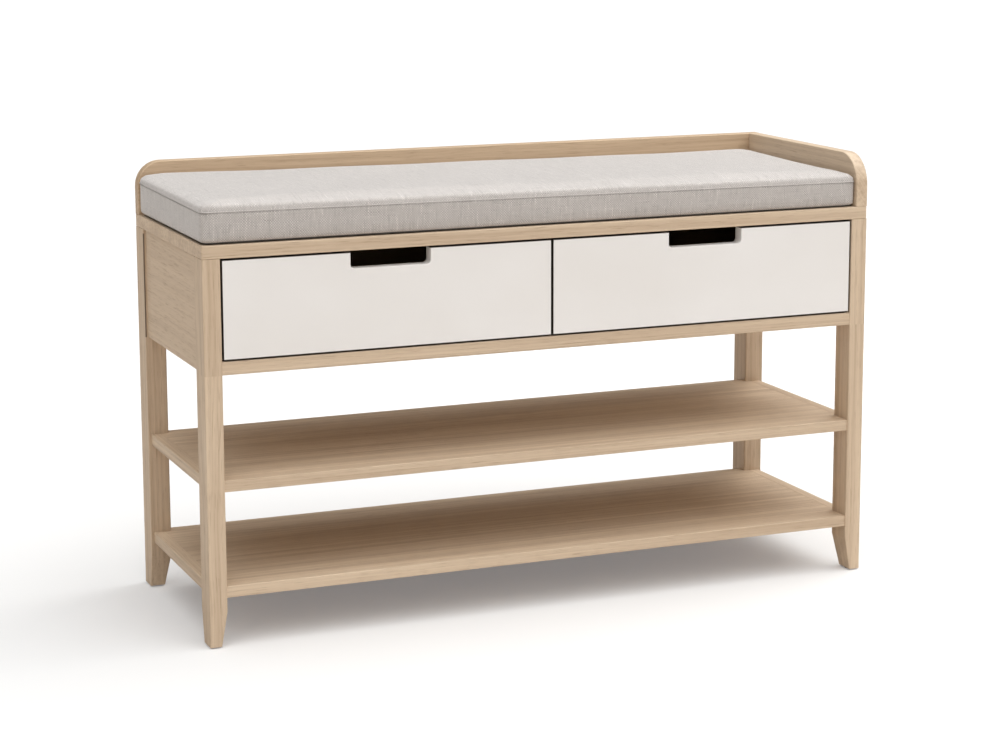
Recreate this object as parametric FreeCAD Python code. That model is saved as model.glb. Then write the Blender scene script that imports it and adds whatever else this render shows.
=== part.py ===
import FreeCAD, Part
import math
import os

from FreeCAD import Vector

# Entryway bench: an oak frame with two drawers under the seat, two open shoe
# shelves, a low gallery along the back and the right end, and a loose cushion.
#
# Millimetres.  The origin is the middle of the footprint on the floor.  +X runs
# to the right as seen from the front, the front faces -Y, and +Z is up.

# ---- driving dimensions ------------------------------------------------------

width = 1000.0                  # seat board, end to end
depth = 350.0                   # seat board, front to back
seat_height = 547.0             # floor to the top of the seat board
board = 18.0                    # thickness of seat board, deck, rails and panels
gallery_rise = 76.0             # rails above the seat board

front_leg_width = 25.0          # seen from the front
back_leg_width = 30.0
leg_depth = 40.0                # seen from the end
taper_height = 50.0             # the inner faces taper over this height
taper_x = 8.5                   # wood taken off the inner faces at the foot
taper_y = 9.0

deck_underside = 373.0
shelf_thickness = 16.0
shelf_tops = {"lower": 84.5, "upper": 230.0}
shelf_setback = 2.0             # shelf front edge behind the legs' front face
shelf_back = 152.0              # y of the shelves' back edge
shelf_end_inset = 5.0           # shelf ends inside the legs' outer faces
end_strip_width = 16.0          # lipping strip on each end of a shelf
panel_inset = 4.0               # end panels inside the legs' outer faces
back_panel_front = 155.0
back_panel_thickness = 12.0

drawer_gap = 2.5                # round the drawer fronts
centre_gap = 3.0                # between the two fronts
front_setback = 1.0
front_thickness = 18.0
notch_width = 115.0
notch_depth = 22.0
notch_radius = 6.0
box_wall = 12.0                 # drawer sides and back
box_bottom_thickness = 6.0
box_groove = 6.0                # depth of the grooves that hold the bottom
box_underside = 400.0
box_top = 498.0
box_bottom_z = 408.0
box_back = 130.0                # y of the drawer box's back face

slide_length = 280.0
slide_front = -154.0            # y of the slides' front ends
slide_height = 45.0
slide_thickness = 12.7
slide_sheet = 1.2
slide_clearance = 0.3           # between one member and the next

cushion_gap = 1.0               # to the gallery rails
cushion_end_setback = 2.0       # inside the board's free left end
cushion_front_setback = 5.0     # inside the board's front edge
cushion_lift = 0.4              # above the seat board
cushion_height = 54.0

arris = 1.5                     # softened edges of solid oak

# ---- places worked out from them ---------------------------------------------

half_width = width / 2
half_depth = depth / 2
front_y = -half_depth
board_underside = seat_height - board
deck_top = deck_underside + board
leg_back_of_front = front_y + leg_depth
leg_front_of_back = half_depth - leg_depth
opening_half = half_width - front_leg_width
panel_inner = half_width - panel_inset - board
glide_height = 2.0
glide_radius = 6.5
slide_z = (box_underside + box_top) / 2
drawer_face = front_y + front_setback
drawer_back_of_front = drawer_face + front_thickness
sides = {"left": -1, "right": 1}


# ---- helpers -----------------------------------------------------------------

def block(x, y, z):
    """A box from three (low, high) pairs, in either order."""
    low = Vector(min(x), min(y), min(z))
    return Part.makeBox(max(x) - low.x, max(y) - low.y, max(z) - low.z, low)


def prism(points, run):
    """A flat outline carried along the vector run."""
    wire = Part.makePolygon(points + points[:1])
    return Part.Face(wire).extrude(run)


def soften(shape, radius, pick):
    """Round the edges for which pick(edge) is true."""
    return shape.makeFillet(radius, [edge for edge in shape.Edges if pick(edge)])


def runs_along(axis, slack=0.95):
    """A test for straight edges that run along an axis."""
    def test(edge):
        return abs(edge.tangentAt(edge.FirstParameter).dot(axis)) > slack
    return test


def every_edge(edge):
    return True


X = Vector(1, 0, 0)
Y = Vector(0, 1, 0)
Z = Vector(0, 0, 1)


def at_corner(shape, x_side, y_side):
    """Move a leg-shaped piece, built inward from the origin, to a corner."""
    if x_side > 0:
        shape = shape.mirror(Vector(0, 0, 0), X)
    if y_side > 0:
        shape = shape.mirror(Vector(0, 0, 0), Y)
    shape.translate(Vector(x_side * half_width, y_side * half_depth, 0))
    return shape


def dowel(centre, axis, radius=4.0, length=30.0):
    start = centre - axis * (length / 2)
    pin = Part.makeCylinder(radius, length, start, axis)
    return pin.makeChamfer(0.8, pin.Edges)


def screw(head_seat, axis, length, head_radius=3.6, head=1.2, shank_radius=1.9):
    """A pan-head screw: axis points from the head into the wood."""
    shank = Part.makeCylinder(shank_radius, length, head_seat, axis)
    cap = Part.makeCylinder(head_radius, head, head_seat - axis * head, axis)
    return shank.fuse(cap).removeSplitter()


# ---- frame -------------------------------------------------------------------

def tapered_leg(leg_width, top):
    """A leg built inward from its outer corner, tapered on its inner faces."""
    leg = block((0, leg_width), (0, leg_depth), (glide_height, top))
    past = 5.0
    x_cut = prism([Vector(leg_width - taper_x, -past, glide_height),
                   Vector(leg_width + past, -past, glide_height),
                   Vector(leg_width + past, -past, taper_height),
                   Vector(leg_width, -past, taper_height)], Y * (leg_depth + 2 * past))
    y_cut = prism([Vector(-past, leg_depth - taper_y, glide_height),
                   Vector(-past, leg_depth + past, glide_height),
                   Vector(-past, leg_depth + past, taper_height),
                   Vector(-past, leg_depth, taper_height)], X * (leg_width + 2 * past))
    leg = leg.cut(x_cut).cut(y_cut)
    return soften(leg, arris, runs_along(Z, 0.9))


def stile():
    """The short upright over a front leg, beside the drawer."""
    post = block((0, front_leg_width), (0, leg_depth), (deck_underside, board_underside))
    return soften(post, arris, runs_along(Z))


def glide(leg_width):
    """A nail-in glide: a disc under the foot with a pin up into the leg."""
    pin_radius = 1.5
    pin_length = 14.0
    foot = Vector((leg_width - taper_x) / 2, (leg_depth - taper_y) / 2, 0)
    disc = Part.makeCylinder(glide_radius, glide_height, foot, Z)
    disc = soften(disc, 0.6, lambda edge: edge.BoundBox.ZMax < 0.1)
    pin = Part.makeCylinder(pin_radius, pin_length, foot, Z)
    return disc.fuse(pin).removeSplitter()


def panel_between_legs(half, y_low, y_high, z_low, z_high):
    """A board that fits between and round the four legs."""
    panel = block((-half, half), (y_low, y_high), (z_low, z_high))
    for side in sides.values():
        far = side * (half + 1)
        for inner, y_span in ((opening_half, (y_low - 1, leg_back_of_front)),
                              (half_width - back_leg_width, (leg_front_of_back, y_high + 1))):
            panel = panel.cut(block((side * inner, far), y_span, (z_low - 1, z_high + 1)))
    return panel


def shelf(top):
    """One shelf: the panel and the two lipping strips on its ends."""
    seam = half_width - shelf_end_inset - end_strip_width
    low = top - shelf_thickness
    front = front_y + shelf_setback
    panel = panel_between_legs(seam, front, shelf_back, low, top)
    panel = soften(panel, 1.2, lambda edge: edge.BoundBox.YMax < front + 0.1
                   and edge.BoundBox.XLength > width / 2)
    seam_arris = 0.5
    panel = soften(panel, seam_arris, lambda edge: runs_along(Y)(edge)
                   and abs(edge.CenterOfMass.x) > seam - 0.1
                   and edge.CenterOfMass.z > top - 0.1)
    strips = {}
    for name, side in sides.items():
        strip = block((side * seam, side * (seam + end_strip_width)),
                      (leg_back_of_front, leg_front_of_back), (low, top))
        strip = soften(strip, 1.2, lambda edge: runs_along(Y)(edge)
                       and abs(edge.CenterOfMass.x) > seam + end_strip_width - 0.1)
        strips[name] = soften(strip, seam_arris, lambda edge: runs_along(Y)(edge)
                              and abs(edge.CenterOfMass.x) < seam + 0.1
                              and edge.CenterOfMass.z > top - 0.1)
    return panel, strips


def seat_board():
    slab = block((-half_width, half_width), (front_y, half_depth),
                 (board_underside, seat_height))
    slab = soften(slab, 3.0, runs_along(Z))
    return soften(slab, arris, lambda edge: not runs_along(Z)(edge))


def gallery_back():
    """The long rail on the back edge, with its free left end rounded."""
    corner_radius = 36.0
    top = seat_height + gallery_rise
    rail = block((-half_width, half_width), (half_depth - board, half_depth),
                 (seat_height, top))
    rail = soften(rail, corner_radius, lambda edge: runs_along(Y)(edge)
                  and edge.CenterOfMass.x < 0 and edge.CenterOfMass.z > top - 0.1)
    return soften(rail, arris, lambda edge: edge.BoundBox.ZMax > seat_height + 1
                  and edge.CenterOfMass.x < half_width - 0.1
                  and edge.BoundBox.YLength < 0.1)


def gallery_right():
    """The short rail on the right end, with its front top corner rounded."""
    corner_radius = 46.0
    top = seat_height + gallery_rise
    rail = block((half_width - board, half_width), (front_y, half_depth - board),
                 (seat_height, top))
    rail = soften(rail, corner_radius, lambda edge: runs_along(X)(edge)
                  and edge.CenterOfMass.y < 0 and edge.CenterOfMass.z > top - 0.1)
    return soften(rail, arris, lambda edge: edge.BoundBox.ZMax > seat_height + 1
                  and edge.CenterOfMass.y < half_depth - board - 0.1
                  and edge.BoundBox.XLength < 0.1)


def end_panel(side):
    outer = side * (half_width - panel_inset)
    panel = block((side * panel_inner, outer), (leg_back_of_front, leg_front_of_back),
                  (deck_underside, board_underside))
    return soften(panel, 1.0, lambda edge: runs_along(Y)(edge)
                  and edge.CenterOfMass.z < deck_underside + 0.1
                  and abs(edge.CenterOfMass.x) > abs(outer) - 0.1)


def drawer_deck():
    deck = panel_between_legs(panel_inner, drawer_face, back_panel_front,
                              deck_underside, deck_top)
    return soften(deck, 1.0, lambda edge: edge.BoundBox.YMax < drawer_face + 0.1
                  and edge.BoundBox.XLength > width / 2)


# ---- telescopic slides -------------------------------------------------------

def slide_members(mount_x, sense):
    """Cabinet, middle and drawer members, from a face at mount_x outward by sense.

    Each is a folded channel.  The middle one runs inside the cabinet member and
    the drawer member inside the middle one, with the same clearance."""
    def channel(back, lip, half_height):
        fold = math.copysign(slide_sheet, lip - back)
        run = (slide_front, slide_front + slide_length)
        outer = block((mount_x + sense * back, mount_x + sense * lip), run,
                      (slide_z - half_height, slide_z + half_height))
        clear = half_height - slide_sheet
        hollow = block((mount_x + sense * (back + fold), mount_x + sense * (lip + fold)),
                       (run[0] - 1, run[1] + 1), (slide_z - clear, slide_z + clear))
        return outer.cut(hollow)

    step = slide_sheet + slide_clearance
    cabinet_half = slide_height / 2
    cabinet = channel(0.0, 9.0, cabinet_half)
    middle = channel(3.0, 10.0, cabinet_half - step)
    drawer = channel(slide_thickness, 6.0, cabinet_half - 2 * step)
    return cabinet, middle, drawer


# ---- drawers -----------------------------------------------------------------

def drawer_front(x_low, x_high):
    """A flush slab with a round-cornered finger notch in its top edge."""
    low = deck_top + drawer_gap
    high = board_underside - drawer_gap
    slab = block((x_low, x_high), (drawer_face, drawer_back_of_front), (low, high))
    middle = (x_low + x_high) / 2
    notch = block((middle - notch_width / 2, middle + notch_width / 2),
                  (drawer_face - 1, drawer_back_of_front + 1),
                  (high - notch_depth, high + notch_depth))
    notch = soften(notch, notch_radius, lambda edge: runs_along(Y)(edge)
                   and edge.CenterOfMass.z < high)
    return soften(slab.cut(notch), 0.8, lambda edge: edge.BoundBox.YMax < drawer_face + 0.1)


def drawer(name, side):
    """All the pieces that travel with one drawer."""
    outer_front = side * (opening_half - drawer_gap)
    inner_front = side * centre_gap / 2
    outer = side * (opening_half - slide_thickness)
    inner = side * (board / 2 + slide_thickness)
    into_outer = -side * box_wall
    box_z = (box_underside, box_top)
    box_y = (drawer_back_of_front, box_back)
    bottom = block((outer - side * (box_wall - box_groove), inner + side * (box_wall - box_groove)),
                   (drawer_back_of_front - box_groove, box_back - box_wall + box_groove),
                   (box_bottom_z, box_bottom_z + box_bottom_thickness))
    pieces = {
        "front": drawer_front(min(outer_front, inner_front), max(outer_front, inner_front)),
        "side_outer": block((outer, outer + into_outer), box_y, box_z),
        "side_inner": block((inner, inner - into_outer), box_y, box_z),
        "back": block((outer + into_outer, inner - into_outer),
                      (box_back - box_wall, box_back), box_z),
    }
    pieces = {key: shape.cut(bottom) for key, shape in pieces.items()}
    top_arris = 0.8
    for key in ("side_outer", "side_inner", "back"):
        pieces[key] = soften(pieces[key], top_arris,
                             lambda edge: edge.BoundBox.ZMin > box_top - 0.1
                             and edge.Length > 10 * box_wall)
    pieces["bottom"] = bottom

    pins = []
    for z in (slide_z - 20, slide_z + 20):
        for wall, inward in ((outer, into_outer), (inner, -into_outer)):
            mid_wall = wall + inward / 2
            pins.append(dowel(Vector(mid_wall, drawer_back_of_front + 2, z), Y, 3.0, 24.0))
            pins.append(dowel(Vector(wall + inward * 1.3, box_back - box_wall / 2, z), X, 3.0, 18.0))
    pieces["dowels"] = Part.makeCompound(pins)

    screws = []
    for wall, inward in ((outer, into_outer), (inner, -into_outer)):
        axis = X * math.copysign(1, inward)
        seat_x = wall - math.copysign(slide_sheet, inward)
        for y in (slide_front + 35, slide_front + slide_length - 35):
            screws.append(screw(Vector(seat_x, y, slide_z), axis, 10.0))
    pieces["slide_screws"] = Part.makeCompound(screws)
    return {"drawer_" + name + "_" + key: shape for key, shape in pieces.items()}


# ---- cushion -----------------------------------------------------------------

def seat_cushion():
    """A plain block of the cushion's size, rounded where the cushion is."""
    bottom = seat_height + cushion_lift
    top = seat_height + cushion_height
    pad = block((-half_width + cushion_end_setback, half_width - board - cushion_gap),
                (front_y + cushion_front_setback, half_depth - board - cushion_gap),
                (bottom, top))
    pad = soften(pad, 14.0, runs_along(Z))
    pad = soften(pad, 11.0, lambda edge: edge.BoundBox.ZMin > top - 0.1)
    return soften(pad, 6.0, lambda edge: edge.BoundBox.ZMax < bottom + 0.1)


# ---- assembly ----------------------------------------------------------------

nodes = {}
fasteners = {}

for name, side in sides.items():
    nodes["leg_front_" + name] = at_corner(tapered_leg(front_leg_width, deck_underside), side, -1)
    nodes["stile_front_" + name] = at_corner(stile(), side, -1)
    nodes["leg_back_" + name] = at_corner(tapered_leg(back_leg_width, board_underside), side, 1)
    nodes["end_panel_" + name] = end_panel(side)
    nodes["slide_packer_" + name] = block((side * panel_inner, side * opening_half),
                                          (leg_back_of_front, slide_front + slide_length),
                                          (slide_z - slide_height / 2, slide_z + slide_height / 2))

for level, top in shelf_tops.items():
    panel, strips = shelf(top)
    nodes["shelf_" + level + "_panel"] = panel
    for name, strip in strips.items():
        nodes["shelf_" + level + "_end_" + name] = strip

nodes["seat_board"] = seat_board()
nodes["gallery_rail_back"] = gallery_back()
nodes["gallery_rail_right"] = gallery_right()
nodes["drawer_deck"] = drawer_deck()
nodes["centre_divider"] = block((-board / 2, board / 2),
                                (drawer_back_of_front + 2, back_panel_front),
                                (deck_top, board_underside))
nodes["back_panel"] = block((-(half_width - back_leg_width), half_width - back_leg_width),
                            (back_panel_front, back_panel_front + back_panel_thickness),
                            (deck_underside, board_underside))
nodes["seat_cushion"] = seat_cushion()

fixing_screws = []
for name, side in sides.items():
    nodes.update(drawer(name, side))
    for place, mount_x, sense in (("outer", side * opening_half, -side),
                                  ("inner", side * board / 2, side)):
        cabinet, middle, moving = slide_members(mount_x, sense)
        nodes["slide_cabinet_" + name + "_" + place] = cabinet
        nodes["slide_middle_" + name + "_" + place] = middle
        nodes["slide_drawer_" + name + "_" + place] = moving
        length = 14.0 if place == "outer" else 8.0
        for y in (slide_front + 55, slide_front + slide_length - 55):
            seat = Vector(mount_x + sense * slide_sheet, y, slide_z)
            fixing_screws.append(screw(seat, X * -sense, length))
fasteners["slide_fixing_screws"] = fixing_screws

# Dowels hold every joint of the frame.  The lists below give their middles.
front_post = Vector(half_width - front_leg_width / 2, front_y + leg_depth / 2, 0)
back_post = Vector(half_width - back_leg_width / 2, half_depth - leg_depth / 2, 0)
panel_mid = half_width - panel_inset - board / 2
strip_mid = half_width - shelf_end_inset - end_strip_width / 2
strip_seam = strip_mid - end_strip_width / 2

leg_dowels = []
carcass_dowels = []
top_dowels = []
shelf_dowels = []
glides = []
into_board = 12.0               # a dowel's length inside the seat board
top_dowel_z = board_underside + into_board - 15
for side in sides.values():
    leg_dowels.append(dowel(Vector(side * front_post.x, front_post.y, deck_underside), Z,
                            length=40.0))
    for z in (deck_top + 25, board_underside - 35):
        for y in (leg_back_of_front, leg_front_of_back):
            carcass_dowels.append(dowel(Vector(side * panel_mid, y, z), Y))
    for y in (-80.0, 0.0, 80.0):
        carcass_dowels.append(dowel(Vector(side * panel_inner, y, deck_underside + board / 2), X,
                                    3.0, 24.0))
    for post in (front_post, back_post):
        top_dowels.append(dowel(Vector(side * post.x, post.y, top_dowel_z), Z))
    for top in shelf_tops.values():
        mid_z = top - shelf_thickness / 2
        for y in (leg_back_of_front, leg_front_of_back):
            shelf_dowels.append(dowel(Vector(side * strip_mid, y, mid_z), Y, 3.0))
        for y in (-90.0, 0.0, 90.0):
            shelf_dowels.append(dowel(Vector(side * strip_seam, y, mid_z), X, 3.0, 22.0))
    glides.append(at_corner(glide(front_leg_width), side, -1))
    glides.append(at_corner(glide(back_leg_width), side, 1))
for y in (-100.0, 80.0):
    carcass_dowels.append(dowel(Vector(0, y, deck_top), Z, 3.0, 24.0))
    top_dowels.append(dowel(Vector(0, y, top_dowel_z), Z))

rail_mid = half_width - board / 2
rail_dowel_z = seat_height + 3
gallery_dowels = [dowel(Vector(x, half_depth - board / 2, rail_dowel_z), Z)
                  for x in (-420.0, -210.0, 0.0, 210.0, 420.0)]
gallery_dowels += [dowel(Vector(rail_mid, y, rail_dowel_z), Z) for y in (-100.0, 0.0, 100.0)]
gallery_dowels += [dowel(Vector(rail_mid, half_depth - board, seat_height + rise), Y, 3.0, 24.0)
                   for rise in (28.0, 56.0)]

fasteners["leg_dowels"] = leg_dowels
fasteners["carcass_dowels"] = carcass_dowels
fasteners["top_dowels"] = top_dowels
fasteners["shelf_dowels"] = shelf_dowels
fasteners["gallery_dowels"] = gallery_dowels
fasteners["foot_glides"] = glides
for name, pins in fasteners.items():
    nodes[name] = Part.makeCompound(pins)


def group_solids(suffixes):
    return {name: nodes[name].Solids for name in nodes if name.endswith(suffixes)}


def drilled(name, shape, groups):
    """Cut the seat of each dowel, pin and screw that reaches into the piece."""
    for group, pins in groups.items():
        for pin in pins:
            if name != group and shape.BoundBox.intersect(pin.BoundBox):
                if shape.common(pin).Volume > 0.01:
                    shape = shape.cut(pin)
    return shape


pin_groups = group_solids(("_dowels", "_screws", "_glides"))
os.makedirs("parts", exist_ok=True)
for name, shape in nodes.items():
    if name not in pin_groups:
        shape = drilled(name, shape, pin_groups)
    if not shape.isValid():
        raise RuntimeError(name + " is not a valid solid")
    print(name, len(shape.Solids), round(shape.Volume / 1000, 1), "cm3")
    shape.exportStep("parts/" + name + ".step")
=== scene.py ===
import math

import bmesh
import bpy
import numpy as np
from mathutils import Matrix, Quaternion, Vector
from mathutils.bvhtree import BVHTree


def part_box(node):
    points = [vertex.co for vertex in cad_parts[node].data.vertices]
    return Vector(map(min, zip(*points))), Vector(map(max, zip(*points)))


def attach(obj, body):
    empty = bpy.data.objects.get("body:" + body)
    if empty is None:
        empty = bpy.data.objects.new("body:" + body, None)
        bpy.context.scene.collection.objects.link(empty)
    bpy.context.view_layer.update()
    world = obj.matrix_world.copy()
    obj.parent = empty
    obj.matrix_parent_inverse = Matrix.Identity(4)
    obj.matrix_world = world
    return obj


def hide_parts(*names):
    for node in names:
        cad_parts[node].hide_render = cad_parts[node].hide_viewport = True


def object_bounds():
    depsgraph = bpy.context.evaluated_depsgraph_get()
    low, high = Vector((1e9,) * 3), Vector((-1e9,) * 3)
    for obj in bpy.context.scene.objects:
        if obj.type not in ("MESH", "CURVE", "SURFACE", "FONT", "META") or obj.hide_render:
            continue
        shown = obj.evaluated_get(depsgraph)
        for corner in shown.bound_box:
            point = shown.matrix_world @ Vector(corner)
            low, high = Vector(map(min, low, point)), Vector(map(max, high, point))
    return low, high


bl_info = {
    "name": "Entryway Bench Finishes",
    "version": (1, 0, 0),
    "blender": (4, 5, 0),
    "location": "3D View > Sidebar > Bench",
    "description": "Gives the oak entryway bench its finishes, its cushion and a plain studio",
    "category": "Object",
}

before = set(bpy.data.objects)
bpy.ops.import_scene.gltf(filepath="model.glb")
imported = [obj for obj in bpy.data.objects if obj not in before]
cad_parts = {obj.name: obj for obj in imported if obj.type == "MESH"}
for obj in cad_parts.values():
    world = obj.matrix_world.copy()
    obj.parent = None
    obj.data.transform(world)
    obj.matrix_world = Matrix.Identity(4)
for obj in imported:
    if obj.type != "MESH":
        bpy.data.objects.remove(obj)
CAD_LOW, CAD_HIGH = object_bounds()
_, BOARD_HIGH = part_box("seat_board")
PAD_LOW, PAD_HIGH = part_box("seat_cushion")


# ---- settings ----------------------------------------------------------------

def colour_property(name, description, value):
    return bpy.props.FloatVectorProperty(name=name, description=description, subtype="COLOR",
                                         size=3, min=0.0, max=1.0, default=value)


def length_property(name, description, value):
    return bpy.props.FloatProperty(name=name, description=description, subtype="DISTANCE",
                                   unit="LENGTH", min=0.0, default=value, precision=4)


class BenchWoodSettings(bpy.types.PropertyGroup):
    oak_light: colour_property("Oak, early wood", "The pale part of each growth ring",
                               (0.672, 0.530, 0.384))
    oak_dark: colour_property("Oak, late wood", "The dark part of each growth ring",
                              (0.488, 0.360, 0.247))
    oak_pore: colour_property("Oak, pores", "The open pores along the grain",
                              (0.300, 0.190, 0.110))
    # Painted shadow: shadow is the dark line down the back legs' front faces beside the end
    # panels, standing in for the shade in the gap there.
    shadow: colour_property("Shadow line", "Line beside the end panels", (0.060, 0.036, 0.020))
    birch: colour_property("Birch face", "Face veneer of the plywood", (0.560, 0.430, 0.300))
    birch_dark: colour_property("Birch figure", "Darker streaks in the plywood",
                                (0.440, 0.315, 0.205))
    beech: colour_property("Beech", "Dowels", (0.520, 0.350, 0.220))


class BenchFrontSettings(bpy.types.PropertyGroup):
    lacquer: colour_property("Lacquer", "Warm off-white of the drawer fronts",
                             (0.816, 0.798, 0.784))
    # Painted shade: edge and band set a dark band round each drawer front's outer edges, standing
    # in for the shade in the gaps.
    edge: colour_property("Edge band", "Dark band on the outer edges", (0.036, 0.027, 0.020))
    band: length_property("Edge band reach", "How far the band shows on the face", 0.0005)
    gloss: bpy.props.FloatProperty(name="Roughness", description="Roughness of the lacquer",
                                   subtype="FACTOR", min=0.0, max=1.0, default=0.42)


class BenchCushionSettings(bpy.types.PropertyGroup):
    warp: colour_property("Warp yarn", "Yarn that runs front to back", (0.708, 0.667, 0.639))
    weft: colour_property("Weft yarn", "Yarn that runs end to end", (0.447, 0.413, 0.390))
    # Painted shadow: base is a near-black cloth over the pad's lowest few millimetres, standing in
    # for the contact shadow where the pad meets the board.
    base: colour_property("Base cloth", "Dark non-slip cloth under the pad",
                          (0.012, 0.009, 0.006))
    yarn_pitch: length_property("Yarn pitch", "From one yarn to the next", 0.0018)
    voxel: length_property("Mesh size", "Voxel of the remeshed pad", 0.006)
    crown: length_property("Crown", "The most that the pad may swell", 0.0030)
    corner: length_property("Corner radius", "Upright corners, seen from above", 0.0085)
    seam_drop: length_property("Seam below the top", "Seam below the top of the CAD pad", 0.0122)
    roll_width: length_property("Roll width", "How far in the top rolls over the seam", 0.015)
    roll_height: length_property("Roll height", "How far up the top rolls", 0.0075)
    tilt: bpy.props.FloatVectorProperty(name="Tilt", size=2, precision=4,
                                        description="Rise of the pad's top along X and Y",
                                        default=(-0.0071, 0.0104))
    welt_radius: length_property("Welt radius", "Radius of the piped edge", 0.0008)
    stitch_pitch: length_property("Stitch pitch", "From one stitch to the next", 0.0046)


class BenchStageSettings(bpy.types.PropertyGroup):
    eye: bpy.props.FloatVectorProperty(name="Camera", description="Where the camera stands",
                                       subtype="TRANSLATION", unit="LENGTH", size=3,
                                       default=(-1.3425, -3.2483, 1.0215))
    heading: bpy.props.FloatProperty(name="Heading", description="Camera turned from +Y to +X",
                                     subtype="ANGLE", default=0.39009)
    dip: bpy.props.FloatProperty(name="Dip", description="Camera tipped below the horizon",
                                 subtype="ANGLE", default=0.17098)
    roll: bpy.props.FloatProperty(name="Roll", description="Camera turned about its own axis",
                                  subtype="ANGLE", default=-0.00255)
    lens: bpy.props.FloatProperty(name="Focal length", description="On a 36 mm sensor",
                                  subtype="DISTANCE_CAMERA", min=1.0, default=88.26)
    shift: bpy.props.FloatProperty(name="Vertical shift", description="Lens shift",
                                   default=-0.075)
    horizon: bpy.props.FloatProperty(name="Horizon light", min=0.0, default=0.05,
                                     description="Strength of the light from the horizon")
    overhead: bpy.props.FloatProperty(name="Overhead light", min=0.0, default=2.3,
                                      description="What the light gains towards overhead")
    lean: bpy.props.FloatVectorProperty(name="Light lean", subtype="XYZ", size=3,
                                        description="Which side the high light leans to",
                                        default=(0.6, -2.8, 0.0))
    key: bpy.props.FloatProperty(name="Key light", description="Power of the key light",
                                 subtype="POWER", unit="POWER", min=0.0, default=38.0)


# ---- shader helpers ----------------------------------------------------------

class Finish:
    """A material being built, with short calls for the nodes that the finishes share."""

    def __init__(self, name, **sockets):
        self.material = bpy.data.materials.new(name)
        self.material.use_nodes = True
        self.tree = self.material.node_tree
        self.shader = self.tree.nodes["Principled BSDF"]
        for socket, value in sockets.items():
            self.shader.inputs[socket.replace("_", " ")].default_value = value

    def node(self, kind, inputs, output=0, **settings):
        made = self.tree.nodes.new("ShaderNode" + kind)
        for key, value in settings.items():
            setattr(made, key, value)
        for key, value in inputs.items():
            if isinstance(value, bpy.types.NodeSocket):
                self.tree.links.new(value, made.inputs[key])
            else:
                made.inputs[key].default_value = value
        return made.outputs[output]

    def math(self, operation, first, second=0.0, third=0.0):
        return self.node("Math", {0: first, 1: second, 2: third}, operation=operation)

    def sum(self, *terms):
        total = terms[0]
        for term in terms[1:]:
            total = self.math("ADD", total, term)
        return total

    def times(self, first, second):
        return self.math("MULTIPLY", first, second)

    def vector(self, x, y, z):
        return self.node("CombineXYZ", {0: x, 1: y, 2: z})

    def split(self, vector):
        made = self.tree.nodes.new("ShaderNodeSeparateXYZ")
        self.tree.links.new(vector, made.inputs[0])
        return tuple(made.outputs)

    def spread(self, place, rates, shifts=(0.0, 0.0, 0.0)):
        """The place with each part times its rate, and moved on by its shift."""
        parts = [self.times(part, rate) for part, rate in zip(place, rates)]
        return self.vector(*(self.sum(part, shift) if shift else part
                             for part, shift in zip(parts, shifts)))

    def noise(self, vector, detail=2.0, roughness=0.5, distortion=0.0):
        return self.node("TexNoise", {"Vector": vector, "Scale": 1.0, "Detail": detail,
                                      "Roughness": roughness, "Distortion": distortion})

    def noise_line(self, w, detail=2.0, roughness=0.5):
        return self.node("TexNoise", {"W": w, "Scale": 1.0, "Detail": detail,
                                      "Roughness": roughness}, noise_dimensions="1D")

    def ease(self, value, low, high):
        """Rises smoothly from 0 at low to 1 at high."""
        return self.node("MapRange", {"Value": value, "From Min": low, "From Max": high},
                         interpolation_type="SMOOTHSTEP")

    def mix(self, factor, first, second, blend="MIX"):
        first = (*first, 1.0) if isinstance(first, tuple) else first
        second = (*second, 1.0) if isinstance(second, tuple) else second
        return self.node("Mix", {0: factor, 6: first, 7: second}, output=2,
                         data_type="RGBA", blend_type=blend)

    def darken(self, colour, share):
        """The colour times one minus share."""
        keep = self.math("SUBTRACT", 1.0, share)
        grey = self.vector(keep, keep, keep)
        return self.mix(1.0, colour, grey, "MULTIPLY")

    def finish(self, colour, roughness, height, depth, strength=1.0):
        """Connects colour, roughness and a bump of the given depth in metres."""
        bump = self.node("Bump", {"Height": height, "Distance": depth, "Strength": strength})
        for socket, value in (("Base Color", colour), ("Roughness", roughness), ("Normal", bump)):
            self.tree.links.new(value, self.shader.inputs[socket])
        return self.material

    def board_axes(self, grain, flat):
        """Object coordinates as (along the grain, across it, through the board)."""
        place = dict(zip("XYZ", self.split(self.node("TexCoord", {}, output=3))))
        across = next(axis for axis in "XYZ" if axis not in (grain, flat))
        return place[grain], place[across], place[flat]


def piece_offset(name):
    """A fixed place in the log for each piece, worked out from the letters of its name."""
    seed = sum((index + 1) * ord(letter) for index, letter in enumerate(name))
    return np.random.default_rng(seed).uniform(-4.0, 4.0, 3)


def tuple_of(colour):
    return tuple(float(part) for part in colour)


# ---- wood --------------------------------------------------------------------

EVEN_TONE = 0.42                # share of late wood in a board with no figure
PAINTED_SHADE_KEEP = (0.86, 0.79, 0.70)      # what full painted shade keeps of each colour
LINE_WIDTH = 0.0019             # painted shadow line, in from the bench's end
LINE_SOFT = 0.0002              # half the width of its soft edge
LINE_STOP = 0.006               # the line ends this far under the end panel's top
LINE_FADE = 0.001               # half the length over which it fades there
PLY_THICKNESS = 0.0014
FLUTE_RATE = 5200.0             # radians a metre, for the dowels' flutes


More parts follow.
